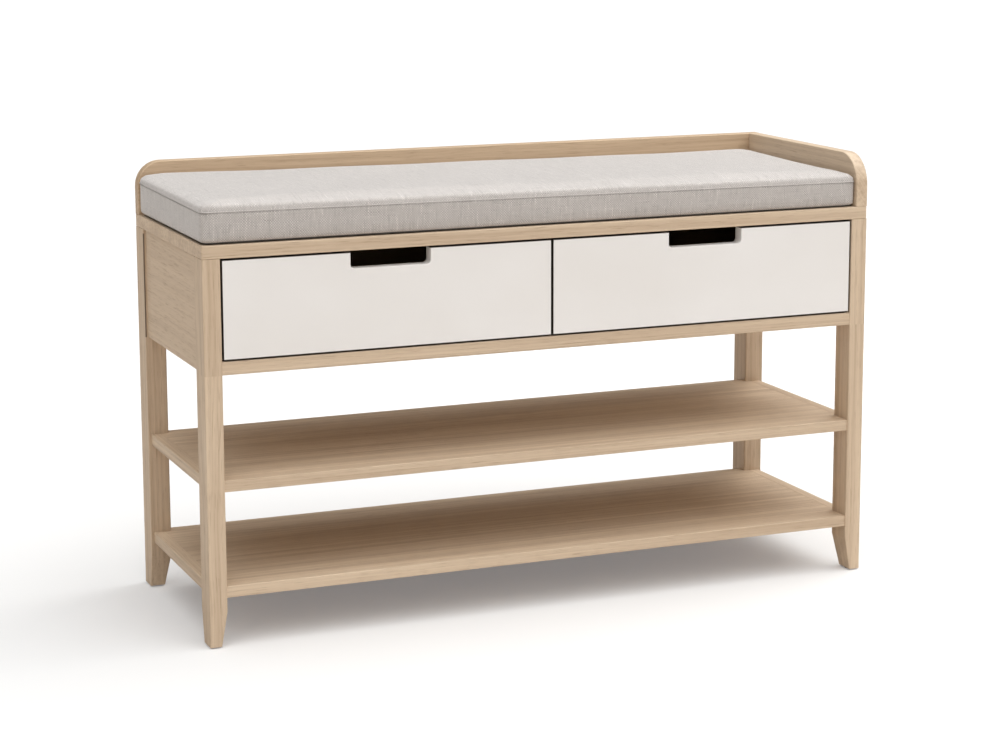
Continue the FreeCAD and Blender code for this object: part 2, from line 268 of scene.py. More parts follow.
def oak(name, grain, flat, wood, lined=False, quiet=0.0, deeper=0.0):
    """Flat-sawn oak with a clear matt finish.

    Growth rings are bands of the distance from a log axis that wanders along the
    board.  Fibres are long thin noise, pores are short dark dashes, and ray flecks
    are pale dashes a little wider than the pores.  A lined board has a dark painted
    shadow line down its front face, along the bench's end, as high as the end panel.
    Quiet draws the figure together towards one even tone, and deeper darkens the
    board with painted shade, both as shares from 0 to 1."""
    made = Finish(name)
    place = made.board_axes(grain, flat)
    along, across, through = place
    far, side, deep = (float(part) for part in piece_offset(name))
    log_side = 0.11 * side / 4.0
    log_deep = 0.10 + 0.03 * deep / 4.0

    slow = made.spread(place, (1.7, 6.0, 6.0), (far, side, deep))
    wander = made.math("SUBTRACT", made.noise(slow, 3.0, 0.55), 0.5)
    off_side = made.sum(across, log_side, made.times(wander, 0.045))
    off_deep = made.sum(through, log_deep, made.times(wander, 0.030))
    radius = made.math("SQRT", made.sum(made.math("POWER", off_side, 2.0),
                                        made.math("POWER", off_deep, 2.0)))
    ring = made.noise_line(made.times(radius, 300.0), 2.0, 0.6)
    ring_band = made.ease(ring, 0.34, 0.68)

    fibre_at = made.spread(place, (5.0, 560.0, 560.0), (far, 0.0, 0.0))
    fibre = made.noise(fibre_at, 3.0, 0.6)
    streak_at = made.spread(place, (1.6, 150.0, 150.0), (side, 0.0, 0.0))
    streak = made.ease(made.noise(streak_at, 3.0, 0.6), 0.30, 0.72)
    broad_at = made.spread(place, (0.9, 38.0, 38.0), (deep, 0.0, 0.0))
    broad = made.ease(made.noise(broad_at, 2.0, 0.55), 0.34, 0.66)
    pore_at = made.spread(place, (34.0, 1300.0, 1300.0), (deep, 0.0, 0.0))
    pore_noise = made.noise(pore_at, 1.0, 0.5)
    open_share = made.math("MULTIPLY_ADD", ring_band, -0.05, 0.655)
    pore = made.ease(made.math("SUBTRACT", pore_noise, open_share), 0.0, 0.06)
    fleck_at = made.spread(place, (22.0, 300.0, 300.0), (far, 0.0, 0.0))
    fleck = made.ease(made.noise(fleck_at, 0.0), 0.68, 0.80)

    dark_share = made.sum(made.times(ring_band, 0.24), made.times(streak, 0.62),
                          made.times(fibre, 0.44), made.times(broad, 0.34), -0.37)
    dark_share = made.math("MULTIPLY_ADD", dark_share, 1.0 - quiet, EVEN_TONE * quiet)
    colour = made.mix(dark_share, tuple_of(wood.oak_light), tuple_of(wood.oak_dark))
    colour = made.mix(made.times(pore, 0.34), colour, tuple_of(wood.oak_pore))
    colour = made.mix(made.times(fleck, 0.20), colour, tuple_of(wood.oak_light))
    # Painted shade: deeper darkens the whole board towards the painted shade tone.
    colour = made.mix(deeper, colour, PAINTED_SHADE_KEEP, "MULTIPLY")
    # Painted shadow: a dark line down the back leg's front face, just in from the bench's end,
    # standing in for the shade in the gap beside the end panel.
    if lined:
        low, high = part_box("end_panel_left")
        x, _, z = made.board_axes("X", "Z")
        _, turned, _ = made.split(made.node("NewGeometry", {}, output=1))
        inner = CAD_HIGH.x - LINE_WIDTH
        stop = high.z - LINE_STOP
        line = made.ease(made.math("ABSOLUTE", x), inner - LINE_SOFT, inner + LINE_SOFT)
        line = made.times(line, made.ease(turned, -0.15, -0.40))
        line = made.times(line, made.ease(z, low.z - LINE_SOFT, low.z + LINE_SOFT))
        line = made.times(line, made.ease(z, stop + LINE_FADE, stop - LINE_FADE))
        colour = made.mix(made.times(line, 0.86), colour, tuple_of(wood.shadow))
    roughness = made.sum(0.44, made.times(fibre, 0.14), made.times(pore, 0.20))
    height = made.sum(made.times(fibre, 0.35), made.times(ring_band, -0.20),
                      made.times(pore, -0.8))
    return made.finish(colour, roughness, height, 0.00016)


def birch_plywood(name, grain, flat, wood):
    """Birch plywood: a quiet rotary-cut face, and stacked plies along its edges.

    The plies are bands through the board, and show where the surface turns away from
    the flat axis."""
    made = Finish(name)
    place = made.board_axes(grain, flat)
    far, side, deep = (float(part) for part in piece_offset(name))
    figure_at = made.spread(place, (3.0, 34.0, 34.0), (far, side, 0.0))
    figure = made.ease(made.noise(figure_at, 3.0, 0.55, 0.6), 0.32, 0.72)
    fibre_at = made.spread(place, (30.0, 900.0, 900.0), (0.0, 0.0, deep))
    fibre = made.noise(fibre_at, 2.0, 0.5)
    face = made.mix(made.sum(made.times(figure, 0.55), made.times(fibre, 0.30)),
                    tuple_of(wood.birch), tuple_of(wood.birch_dark))
    wave = made.math("SINE", made.times(place[2], math.pi / PLY_THICKNESS))
    band = made.ease(wave, -0.35, 0.35)
    plies = made.mix(band, tuple_of(wood.birch_dark), tuple_of(wood.birch))
    normal = dict(zip("XYZ", made.split(made.node("NewGeometry", {}, output=1))))[flat]
    on_edge = made.ease(made.math("ABSOLUTE", normal), 0.75, 0.60)
    colour = made.mix(on_edge, face, plies)
    roughness = made.sum(0.50, made.times(fibre, 0.16))
    height = made.sum(made.times(fibre, 0.5), made.times(made.times(band, on_edge), 0.5))
    return made.finish(colour, roughness, height, 0.00012)


def turned_beech(name, wood):
    """Fluted dowel beech: short flecks and fine flutes along the pin."""
    made = Finish(name)
    place = made.board_axes("X", "Z")
    fleck = made.noise(made.spread(place, (300.0, 300.0, 300.0)), 3.0, 0.6)
    flute = made.math("SINE", made.times(made.sum(*place), FLUTE_RATE))
    colour = made.mix(made.ease(fleck, 0.35, 0.7), tuple_of(wood.beech),
                      tuple_of(wood.birch_dark))
    return made.finish(colour, made.sum(0.55, made.times(fleck, 0.2)), flute, 0.0001)


# ---- paint, metal and plastic ------------------------------------------------

CLOUD_SHADE = (0.965, 0.958, 0.948)     # what the deeper clouds keep of the lacquer
GAP_SHADE_SOFT = 0.0001                      # half the width of the soft edge of the painted gap shade


def satin_lacquer(name, front, low, high):
    """Sprayed satin lacquer: a faint orange peel, slow changes of sheen and tone.

    The outer edges of the front, within a hair of its box's low and high corners,
    carry a dark edge band of painted shade, standing in for the shade in the gaps
    round the front."""
    made = Finish(name, Coat_Weight=0.08, Coat_Roughness=0.28)
    x, z, y = made.board_axes("X", "Y")
    peel = made.noise(made.spread((x, y, z), (420.0, 420.0, 420.0)))
    cloud = made.noise(made.spread((x, y, z), (5.0, 5.0, 7.0)))
    base = tuple_of(front.lacquer)
    deeper = tuple(part * shade for part, shade in zip(base, CLOUD_SHADE))
    colour = made.mix(made.ease(cloud, 0.3, 0.7), base, deeper)
    # Painted shade: the dark band along the outer edges stands in for the shade in the gaps round
    # the front.
    nearest = made.math("MINIMUM", made.sum(x, -low.x), made.math("SUBTRACT", high.x, x))
    nearest = made.math("MINIMUM", nearest, made.sum(z, -low.z))
    nearest = made.math("MINIMUM", nearest, made.math("SUBTRACT", high.z, z))
    band = made.ease(nearest, front.band + GAP_SHADE_SOFT, front.band - GAP_SHADE_SOFT)
    colour = made.mix(band, colour, tuple_of(front.edge))
    roughness = made.sum(front.gloss - 0.04, made.times(cloud, 0.08), made.times(peel, 0.03))
    return made.finish(colour, roughness, peel, 0.00004)


def zinc_plate(name):
    """Zinc-plated pressed steel: fine rolling lines front to back, and a pale bloom."""
    made = Finish(name, Metallic=1.0)
    place = made.board_axes("X", "Z")
    lines = made.noise(made.spread(place, (2600.0, 40.0, 2600.0)), 2.0, 0.6)
    bloom = made.noise(made.spread(place, (90.0, 60.0, 90.0)), 3.0, 0.6)
    colour = made.mix(made.ease(bloom, 0.3, 0.7), (0.60, 0.61, 0.63), (0.47, 0.48, 0.49))
    roughness = made.sum(0.22, made.times(bloom, 0.22), made.times(lines, 0.10))
    return made.finish(colour, roughness, lines, 0.00003)


def moulded_nylon(name):
    """Dark moulded nylon with a fine spark-eroded grain."""
    made = Finish(name)
    place = made.board_axes("X", "Z")
    grain = made.noise(made.spread(place, (1800.0, 1800.0, 1800.0)), 2.0, 0.6)
    scuff = made.noise(made.spread(place, (160.0, 160.0, 160.0)), 3.0, 0.6)
    colour = made.mix(made.ease(scuff, 0.5, 0.8), (0.030, 0.026, 0.022), (0.075, 0.068, 0.060))
    return made.finish(colour, made.sum(0.52, made.times(scuff, 0.2)), grain, 0.00008)


# ---- cloth -------------------------------------------------------------------

SEAM_LINE_DROP = 0.0009         # from the seam down to the middle of its sunken line
SEAM_LINE_INNER = 0.0003        # the line is full this far from its middle,
SEAM_LINE_OUTER = 0.0008        # and gone this far from it
CONTACT_SHADOW_REACH = 0.0022             # painted contact shadow: the dark base cloth is full up to here, over the pad's lowest,
CONTACT_SHADOW_FADE_END = 0.0029          # and gone from here
PLY_RATE = 5200.0               # radians a metre, for the thread's plies


def woven_cloth(name, cloth, coarse=1.0, seamed=False):
    """Plain-woven linen-look cloth, read from the piece's own cloth map in metres.

    Each yarn's height is the sine across it times its rise and fall over and under
    the crossing yarns.  The higher yarn shows.  Every yarn has its own tone and
    thickens and thins along its length, and the hollows between yarns are darkened
    with painted shade.
    The walls are darkened with painted shade, so that the top looks paler.
    A seamed piece has a second map, round the outline and away from the seam, that
    places the sunken line of the seam: a bump, and a line of painted shade."""
    made = Finish(name, Sheen_Weight=0.55, Sheen_Roughness=0.45)
    made.shader.inputs["Specular IOR Level"].default_value = 0.2
    place = made.node("UVMap", {}, uv_map="cloth")
    u, v, _ = made.split(place)
    per_metre = 1.0 / (cloth.yarn_pitch * coarse)
    drift = made.noise(made.vector(made.times(u, 45.0), made.times(v, 45.0), 0.0), 2.0)
    warp_at = made.math("MULTIPLY_ADD", u, per_metre, made.times(drift, 1.6))
    weft_at = made.math("MULTIPLY_ADD", v, per_metre, made.times(drift, 1.6))
    warp_no = made.math("FLOOR", warp_at)
    weft_no = made.math("FLOOR", weft_at)

    def yarn(cross, number, run, turn, seed):
        """Height, tone and slub of the yarns counted by number."""
        across = made.math("ABSOLUTE", made.math("SINE", made.times(cross, math.pi)))
        rise = made.math("SINE", made.times(made.sum(run, number, turn), math.pi))
        tone_at = made.vector(made.times(number, 7.31), made.times(run, 0.05), seed)
        tone = made.noise(tone_at, 3.0, 0.65)
        high = made.math("MULTIPLY_ADD", rise, 0.4, 0.6)
        swell = made.math("MULTIPLY_ADD", tone, 0.7, 0.65)
        return made.times(made.times(across, high), swell), tone

    warp_height, warp_tone = yarn(warp_at, warp_no, weft_at, 0.0, 3.0)
    weft_height, weft_tone = yarn(weft_at, weft_no, warp_at, 1.0, 11.0)
    warp_shows = made.ease(made.math("SUBTRACT", warp_height, weft_height), -0.06, 0.06)
    height = made.math("MAXIMUM", warp_height, weft_height)
    patch_at = made.vector(made.times(u, 70.0), made.times(v, 90.0), 2.0)
    patch = made.ease(made.noise(patch_at, 2.0, 0.6), 0.36, 0.66)

    def yarn_colour(tone, base):
        """The yarn's own colour, paler where it slubs and deeper where it thins."""
        pale = tuple(min(1.0, part * 1.28) for part in base)
        deep = tuple(part * 0.72 for part in base)
        middle = made.mix(made.ease(tone, 0.26, 0.48), deep, base)
        return made.mix(made.ease(tone, 0.54, 0.74), middle, pale)

    warp_colour = yarn_colour(warp_tone, tuple_of(cloth.warp))
    weft_colour = yarn_colour(weft_tone, tuple_of(cloth.weft))
    woven = made.mix(warp_shows, weft_colour, warp_colour)
    blended = made.mix(0.5, weft_colour, warp_colour)
    colour = made.mix(made.math("MULTIPLY_ADD", patch, 0.95, 0.30), blended, woven)
    cloud = made.noise(made.vector(made.times(u, 9.0), made.times(v, 9.0), 5.0), 3.0, 0.6)
    # Painted shade: the hollows between the yarns are darkened.
    hollow = made.ease(height, 0.42, 0.10)
    # Painted shade: cloth that faces sideways is darker than cloth that faces up.
    _, _, rising = made.split(made.node("NewGeometry", {}, output=1))
    wall_shade = made.ease(rising, 0.85, 0.35)
    shade = made.sum(made.times(hollow, 0.34), made.times(cloud, 0.10),
                     made.times(wall_shade, 0.13), -0.05)
    if seamed:
        _, away, _ = made.split(made.node("UVMap", {}, uv_map="seam"))
        offset = made.math("ABSOLUTE", made.sum(away, SEAM_LINE_DROP))
        # Painted shade: the seam's sunken line is darkened as well as lowered.
        line = made.times(made.ease(offset, SEAM_LINE_OUTER, SEAM_LINE_INNER),
                          made.sum(0.35, made.times(patch, 0.65)))
        shade = made.sum(shade, made.times(line, 0.26))
        height = made.math("SUBTRACT", height, made.times(line, 1.2))
    colour = made.darken(colour, shade)
    # Painted contact shadow: the pad's lowest few millimetres turn to the near-black base colour.
    if seamed:
        lowest = BOARD_HIGH.z + REST_GAP - seam_height(cloth)
        under = made.ease(away, lowest + CONTACT_SHADOW_FADE_END, lowest + CONTACT_SHADOW_REACH)
        colour = made.mix(under, colour, tuple_of(cloth.base))
    roughness = made.sum(0.86, made.times(hollow, 0.10))
    return made.finish(colour, roughness, height, 0.00030 * coarse, 0.9)


def twisted_thread(name, cloth):
    """Sewing thread: two plies laid at a slant, from the piece's own cloth map.  The
    ply crests are painted lighter and the grooves darker, as painted light and shade.
    """
    made = Finish(name, Sheen_Weight=0.1)
    u, v, _ = made.split(made.node("UVMap", {}, uv_map="cloth"))
    ply = made.math("SINE", made.times(made.sum(u, made.times(v, 1.3)), PLY_RATE))
    lit, low = tuple(part * 0.62 for part in cloth.warp), tuple(part * 0.40 for part in cloth.weft)
    # Painted light and shade: lit on the ply crests, low in the grooves.
    colour = made.mix(made.ease(ply, -0.6, 0.6), low, lit)
    return made.finish(colour, made.sum(0.62, made.times(ply, 0.05)), ply, 0.00006)


# ---- mesh helpers ------------------------------------------------------------

def paint(node, material):
    """Puts a finish on a CAD node."""
    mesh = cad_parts[node].data
    mesh.materials.clear()
    mesh.materials.append(material)


def grid_mesh(name, points, close_rows, close_columns):
    """A mesh from an array of points, rows by columns by three, joined into quads."""
    rows, columns = points.shape[:2]
    row = np.arange(rows if close_rows else rows - 1)[:, None]
    column = np.arange(columns if close_columns else columns - 1)[None, :]
    next_row, next_column = (row + 1) % rows, (column + 1) % columns
    corners = [row * columns + column, row * columns + next_column,
               next_row * columns + next_column, next_row * columns + column]
    quads = np.stack(np.broadcast_arrays(*corners), -1).reshape(-1, 4)
    mesh = bpy.data.meshes.new(name)
    mesh.from_pydata(points.reshape(-1, 3).tolist(), [], quads.tolist())
    return mesh


def link_piece(name, mesh):
    piece = bpy.data.objects.new(name, mesh)
    bpy.context.scene.collection.objects.link(piece)
    return piece


def rounded_loop(low, high, radius, spacing):
    """Points round a rectangle with round corners, and the outward direction at each.

    Corner centres are carried a quarter turn each, and the straight runs between
    them are evenly divided.  The runs' counts come from the pad's own size, so that
    loops drawn in by different amounts have the same number of points."""
    centre_low, centre_high = np.array(low) + radius, np.array(high) - radius
    centres = [(centre_high[0], centre_high[1]), (centre_low[0], centre_high[1]),
               (centre_low[0], centre_low[1]), (centre_high[0], centre_low[1])]
    corner_steps = max(6, int(round(radius * math.pi / 2 / spacing)))
    points, outward = [], []
    for quarter, centre in enumerate(centres):
        turn = np.linspace(quarter, quarter + 1, corner_steps + 1) * math.pi / 2
        direction = np.stack([np.cos(turn), np.sin(turn)], -1)
        corner = np.array(centre) + radius * direction
        following = np.array(centres[(quarter + 1) % 4]) + radius * direction[-1]
        run = (PAD_HIGH.x - PAD_LOW.x) if quarter % 2 == 0 else (PAD_HIGH.y - PAD_LOW.y)
        steps = max(2, int(round(run / spacing)))
        share = np.linspace(0, 1, steps + 1)[1:-1, None]
        points += [corner, corner[-1] + share * (following - corner[-1])]
        outward += [direction, np.broadcast_to(direction[-1], (len(share), 2))]
    return np.concatenate(points), np.concatenate(outward)


def loop_distance(points, radius):
    """How far round the pad's outline each point lies, from its back right corner.

    A point's nearest place on the inner rectangle gives the straight part of the
    way, and the direction from there gives the part round the corners."""
    flipped = -points
    start, end = -OUTLINE_HIGH + radius, -OUTLINE_LOW - radius
    nearest = np.clip(flipped, start, end)
    away = flipped - nearest
    turn = np.mod(np.arctan2(away[:, 1], away[:, 0]) + math.pi / 2 + 1e-6, 2 * math.pi)
    straight = (nearest - start).sum(1)
    whole = 2 * (end - start).sum()
    return radius * turn + np.where(turn < math.pi, straight, whole - straight)


# ---- cushion -----------------------------------------------------------------

REST_GAP = 0.0006               # between the pad and the seat board
SEAM_BAND = 0.0035              # held still at the seam while the pad swells
LOWER_ROUND = 0.005             # rounding along the pad's lower edge
UPRIGHT = 0.0055                # the wall goes on this far over the seam
RING_SPACING = 0.012            # between the points round the blank
WELT_SPACING = 0.004            # between the points round the welt
PRESSURE = 4.0                  # of the filling, in the cloth simulation
LAST_STEP = 20                  # of the cloth simulation
PUCKER_DEPTH = 0.00030
PUCKER_AWAY = 0.009             # from the seam to the deepest part of a pucker
PUCKER_WIDTH = 0.007
PUCKER_PITCH = (0.026, 0.0113)  # of the long puckers and of the short ones
WALL_REACH = 0.012              # puckers this near the outline also draw inwards
SWELL_HEIGHT = 0.0006           # of the slow swells on top
SWELL_REACH = 0.04              # they reach full height this far in
PLAY_OUTER = 0.0008             # the walls may pass the outline's low sides by this,
PLAY_RAILS = 0.0004             # and its high sides, along the rails, by this
STITCH_DROP = 0.0016            # from the seam down to the row of stitches
STITCH_RADIUS = 0.00034
STITCH_RISE = 0.0004            # of the middle of a stitch over its ends
STITCH_SINK = 0.00012           # of its ends into the cloth
OUTLINE_LOW = np.array([PAD_LOW.x - 0.0010, PAD_LOW.y - 0.0024])
OUTLINE_HIGH = np.array([PAD_HIGH.x + 0.0005, PAD_HIGH.y])


def seam_height(cloth):
    return PAD_HIGH.z - cloth.seam_drop


def pad_blank(cloth):
    """The uninflated pad: a profile of rounded edges carried round the outline.

    Each ring is the outline drawn in by an inset, at a height.  A quarter circle
    turns the lower edge in.  Over the seam a quarter ellipse rolls the top in."""
    bottom = BOARD_HIGH.z + REST_GAP
    turn = np.linspace(0, math.pi / 2, 7)
    insets = np.concatenate([LOWER_ROUND * (1 - np.sin(turn)),
                             cloth.roll_width * (1 - np.cos(turn))])
    heights = np.concatenate([bottom + LOWER_ROUND * (1 - np.cos(turn)),
                              seam_height(cloth) + UPRIGHT + cloth.roll_height * np.sin(turn)])
    rings = []
    for inset, height in zip(insets, heights):
        ring, _ = rounded_loop(OUTLINE_LOW + inset, OUTLINE_HIGH - inset, cloth.corner,
                               RING_SPACING)
        rings.append(np.column_stack([ring, np.full(len(ring), height)]))
    count = len(rings[0])
    mesh = grid_mesh("pad_blank", np.stack(rings), False, True)
    built = bmesh.new()
    built.from_mesh(mesh)
    built.verts.ensure_lookup_table()
    last = (len(rings) - 1) * count
    built.faces.new([built.verts[index] for index in range(count)][::-1])
    built.faces.new([built.verts[last + index] for index in range(count)])
    bmesh.ops.recalc_face_normals(built, faces=built.faces)
    built.to_mesh(mesh)
    built.free()
    return mesh


def baked(piece):
    """The piece's mesh with its modifiers in place."""
    graph = bpy.context.evaluated_depsgraph_get()
    mesh = bpy.data.meshes.new_from_object(piece.evaluated_get(graph))
    piece.modifiers.clear()
    piece.data = mesh
    return mesh


def vertex_array(mesh):
    flat = np.empty(len(mesh.vertices) * 3, np.float32)
    mesh.vertices.foreach_get("co", flat)
    return flat.reshape(-1, 3).astype(float)


def set_vertices(mesh, points):
    mesh.vertices.foreach_set("co", points.astype(np.float32).ravel())
    mesh.update()


def edge_distance(points):
    """How far inside the outline's straight sides each point lies."""
    inside = np.minimum(points[:, :2] - OUTLINE_LOW, OUTLINE_HIGH - points[:, :2])
    return inside.min(1)


def inflate(piece, cloth):
    """Swells the pad by cloth simulation, with its seam and its underside held still.

    The movement is soft-capped: each point moves by the cap times the hyperbolic
    tangent of what the cloth wants over the cap."""
    start = vertex_array(piece.data)
    middle = seam_height(cloth) + UPRIGHT / 2
    at_seam = np.abs(start[:, 2] - middle) < SEAM_BAND + UPRIGHT / 2
    at_seam &= edge_distance(start) < 2 * SEAM_BAND
    held = np.where(at_seam | (start[:, 2] < BOARD_HIGH.z + LOWER_ROUND))[0]
    group = piece.vertex_groups.new(name="held")
    group.add(held.tolist(), 1.0, "REPLACE")
    swelling = piece.modifiers.new("Swell", "CLOTH")
    settings = swelling.settings
    settings.quality = 5
    settings.vertex_group_mass = group.name
    settings.use_pressure = True
    settings.uniform_pressure_force = PRESSURE
    settings.effector_weights.gravity = 0.0
    swelling.collision_settings.use_self_collision = False
    for number in range(1, LAST_STEP + 1):
        bpy.context.scene.frame_set(number)
    graph = bpy.context.evaluated_depsgraph_get()
    swollen = vertex_array(piece.evaluated_get(graph).data)
    piece.modifiers.clear()
    bpy.context.scene.frame_set(1)
    move = swollen - start
    length = np.maximum(np.linalg.norm(move, axis=1), 1e-9)
    return start + move * (cloth.crown * np.tanh(length / cloth.crown) / length)[:, None]


def seam_puckers(points, cloth):
    """Small dimples beside the seam, where the stitches draw the cloth in.

    The depth is a bell of the distance from the seam times a wave along it whose
    length wanders.  The top also has slow swells, as a filling has."""
    around = loop_distance(points[:, :2], cloth.corner)
    seam = seam_height(cloth)
    edge = edge_distance(points)
    away = np.hypot(np.maximum(edge, 0.0), points[:, 2] - seam)
    bell = np.exp(-((away - PUCKER_AWAY) / PUCKER_WIDTH) ** 2)
    long_pitch, short_pitch = PUCKER_PITCH
    wave = np.sin(around * 2 * math.pi / long_pitch + 2.2 * np.sin(around * 17.0))
    wave += 0.6 * np.sin(around * 2 * math.pi / short_pitch + 1.7 * np.sin(around * 31.0))
    swell = np.sin(points[:, 0] * 13.0 + 1.3) * np.sin(points[:, 1] * 21.0 + 0.4)
    swell += 0.6 * np.sin(points[:, 0] * 29.0 + points[:, 1] * 11.0)
    on_top = points[:, 2] > seam + UPRIGHT
    depth = PUCKER_DEPTH * bell * wave
    centre = (OUTLINE_LOW + OUTLINE_HIGH) / 2
    inward = np.sign(centre - points[:, :2]) * (edge < WALL_REACH)[:, None]
    moved = points.copy()
    moved[:, :2] += inward * (0.5 * depth)[:, None]
    rising = np.clip(edge / SWELL_REACH, 0.0, 1.0)
    moved[:, 2] += np.where(on_top, depth + SWELL_HEIGHT * rising * swell, 0.0)
    return moved


def tilted(points, cloth):
    """Raises the pad's upper part towards the back and the left, as foam settles.

    The rise is a slope along X and Y, times the share of the height up to the seam."""
    share = (points[:, 2] - BOARD_HIGH.z) / (seam_height(cloth) - BOARD_HIGH.z)
    moved = points.copy()
    moved[:, 2] += (points[:, :2] @ np.array(cloth.tilt)) * np.clip(share, 0.0, 1.0)
    return moved


def keep_clear(points):
    """Flattens the underside on the board, and keeps the walls off the rails."""
    points[:, 2] = np.clip(points[:, 2], BOARD_HIGH.z + REST_GAP, None)
    points[:, :2] = np.clip(points[:, :2], OUTLINE_LOW - PLAY_OUTER, OUTLINE_HIGH + PLAY_RAILS)
    return points


def vertex_uv(mesh, name, places):
    """Adds a map that gives each corner of a face the place of its vertex."""
    loops = np.empty(len(mesh.loops), np.int32)
    mesh.loops.foreach_get("vertex_index", loops)
    layer = mesh.uv_layers.new(name=name)
    layer.data.foreach_set("uv", places[loops].astype(np.float32).ravel())
    return loops


def cloth_maps(mesh, cloth):
    """Lays the cloth map and the seam map of the pad, in metres.

    On the walls the cloth map is the distance round the outline and the height.  On
    top it is X and Y, with the rolled edge unrolled: a point at share s of the roll's
    width has gone the arc sine of s times that width.  The seam map is the distance
    round the outline and the way up over the seam."""
    points = vertex_array(mesh)
    seam, width = seam_height(cloth), cloth.roll_width
    around = loop_distance(points[:, :2], cloth.corner)
    inner = np.clip(points[:, :2], OUTLINE_LOW + width, OUTLINE_HIGH - width)
    offset = points[:, :2] - inner
    reach = np.maximum(np.linalg.norm(offset, axis=1), 1e-9)
    share = np.clip(reach / width, 0.0, 1.0)
    unrolled = points[:, :2] + offset * (width * (np.arcsin(share) - share) / reach)[:, None]
    over = np.where(points[:, 2] > seam + UPRIGHT,
                    UPRIGHT + width * (math.pi / 2 - np.arcsin(share)), points[:, 2] - seam)
    loops = vertex_uv(mesh, "seam", np.stack([around, over], -1))
    normals = np.empty(len(mesh.polygons) * 3, np.float32)
    centres = np.empty(len(mesh.polygons) * 3, np.float32)
    sizes = np.empty(len(mesh.polygons), np.int32)
    mesh.polygons.foreach_get("normal", normals)
    mesh.polygons.foreach_get("center", centres)
    mesh.polygons.foreach_get("loop_total", sizes)
    height, facing = centres.reshape(-1, 3)[:, 2], normals.reshape(-1, 3)[:, 2]
    on_top = (height > seam + UPRIGHT) & (facing > 0.30)
    on_wall = ~on_top & (facing > -0.72)
    wall_loops, top_loops = np.repeat(on_wall, sizes), np.repeat(on_top, sizes)
    places = points[loops, :2]
    places[top_loops] = unrolled[loops[top_loops]]
    places[wall_loops] = np.stack([around, points[:, 2]], -1)[loops[wall_loops]]
    layer = mesh.uv_layers.new(name="cloth")
    layer.data.foreach_set("uv", places.astype(np.float32).ravel())


def seam_path(cloth, inset, drop, spacing):
    """Points along the seam, drawn in by inset and lowered by drop."""
    ring, outward = rounded_loop(OUTLINE_LOW + inset, OUTLINE_HIGH - inset,
                                 cloth.corner - inset, spacing)
    path = np.column_stack([ring, np.full(len(ring), seam_height(cloth) - drop)])
    return tilted(path, cloth), np.column_stack([outward, np.zeros(len(ring))])


def welt_tube(path, outward, radius):
    """A tube round a closed path: a circle in the plane of up and outward, at each point.

    The radius swells and thins a little along the way, as a stuffed piping does."""
    steps = np.linalg.norm(np.roll(path, -1, 0) - path, axis=1)
    along = np.concatenate([[0.0], np.cumsum(steps)[:-1]])
    turn = np.linspace(0, 2 * math.pi, 14, endpoint=False)
    swell = radius * (1 + 0.045 * np.sin(along * 900.0 + 2 * np.sin(along * 61.0)))
    across = outward[:, None, :] * np.cos(turn)[None, :, None]
    upward = np.array([0.0, 0.0, 1.0]) * np.sin(turn)[None, :, None]
    points = path[:, None, :] + swell[:, None, None] * (across + upward)
    mesh = grid_mesh("seat_cushion_welt", points, True, True)
    places = np.broadcast_arrays(along[:, None], turn[None, :] * radius)
    vertex_uv(mesh, "cloth", np.stack(places, -1).reshape(-1, 2))
    return mesh


def stitch_row(centres, normals, pitch):
    """A row of closed stitches, each a spindle along the row that dips at both ends.

    Along a stitch the radius is the root of a sine, and its height over the cloth
    is the same sine, so that it goes in and out of the cloth."""
    reach = 0.36 * pitch
    ahead = np.roll(centres, -1, 0) - np.roll(centres, 1, 0)
    ahead /= np.linalg.norm(ahead, axis=1)[:, None]
    normals = normals / np.linalg.norm(normals, axis=1)[:, None]
    across = np.cross(normals, ahead)
    share = np.linspace(0.03, 0.97, 7)
    bow = np.sin(share * math.pi)
    turn = np.linspace(0, 2 * math.pi, 6, endpoint=False)
    spine = (centres[:, None, :] + ahead[:, None, :] * ((share - 0.5) * 2 * reach)[None, :, None]
             + normals[:, None, :] * (STITCH_RISE * bow - STITCH_SINK)[None, :, None])
    ring = (normals[:, None, :] * np.cos(turn)[None, :, None]
            + across[:, None, :] * np.sin(turn)[None, :, None])
    size = (STITCH_RADIUS * np.sqrt(bow))[None, :, None, None]
    points = spine[:, :, None, :] + size * ring[:, None, :, :]
    count, rings, sides = points.shape[:3]
    base = (np.arange(count) * rings * sides)[:, None, None]
    ring_no = np.arange(rings - 1)[None, :, None] * sides
    side_no = np.arange(sides)[None, None, :]
    next_side = (side_no + 1) % sides
    quads = np.stack([base + ring_no + side_no, base + ring_no + next_side,
                      base + ring_no + sides + next_side, base + ring_no + sides + side_no], -1)
    ends = [(base[:, 0, 0][:, None] + np.arange(sides)[None, ::-1]),
            (base[:, 0, 0][:, None] + (rings - 1) * sides + np.arange(sides)[None, :])]
    faces = quads.reshape(-1, 4).tolist() + ends[0].tolist() + ends[1].tolist()
    mesh = bpy.data.meshes.new("seat_cushion_topstitch")
    mesh.from_pydata(points.reshape(-1, 3).tolist(), [], faces)
    place = np.stack([np.broadcast_to(share[None, :, None] * 2 * reach, points.shape[:3]),
                      np.broadcast_to((turn * STITCH_RADIUS)[None, None, :],
                                      points.shape[:3])], -1)
    vertex_uv(mesh, "cloth", place.reshape(-1, 2))
    return mesh


def smooth_shaded(mesh):
    mesh.polygons.foreach_set("use_smooth", np.ones(len(mesh.polygons), bool))
    mesh.update()


def face_outward(mesh):
    built = bmesh.new()
    built.from_mesh(mesh)
    bmesh.ops.recalc_face_normals(built, faces=built.faces)
    built.to_mesh(mesh)
    built.free()


# ---- studio ------------------------------------------------------------------

FLOOR_REACH = 60.0
GLOW, GLOW_GAIN = 0.155, 0.10   # painted glow of the floor near the bench, and what it gains away from it
GLOW_NEAR, GLOW_FAR = 0.7, 2.4  # the gain starts and ends this far from the middle
KEY_PLACE = (2.2, 0.5, 2.6)
KEY_AIM = (0.0, 0.0, 0.3)
KEY_SIZE = (2.6, 2.0)


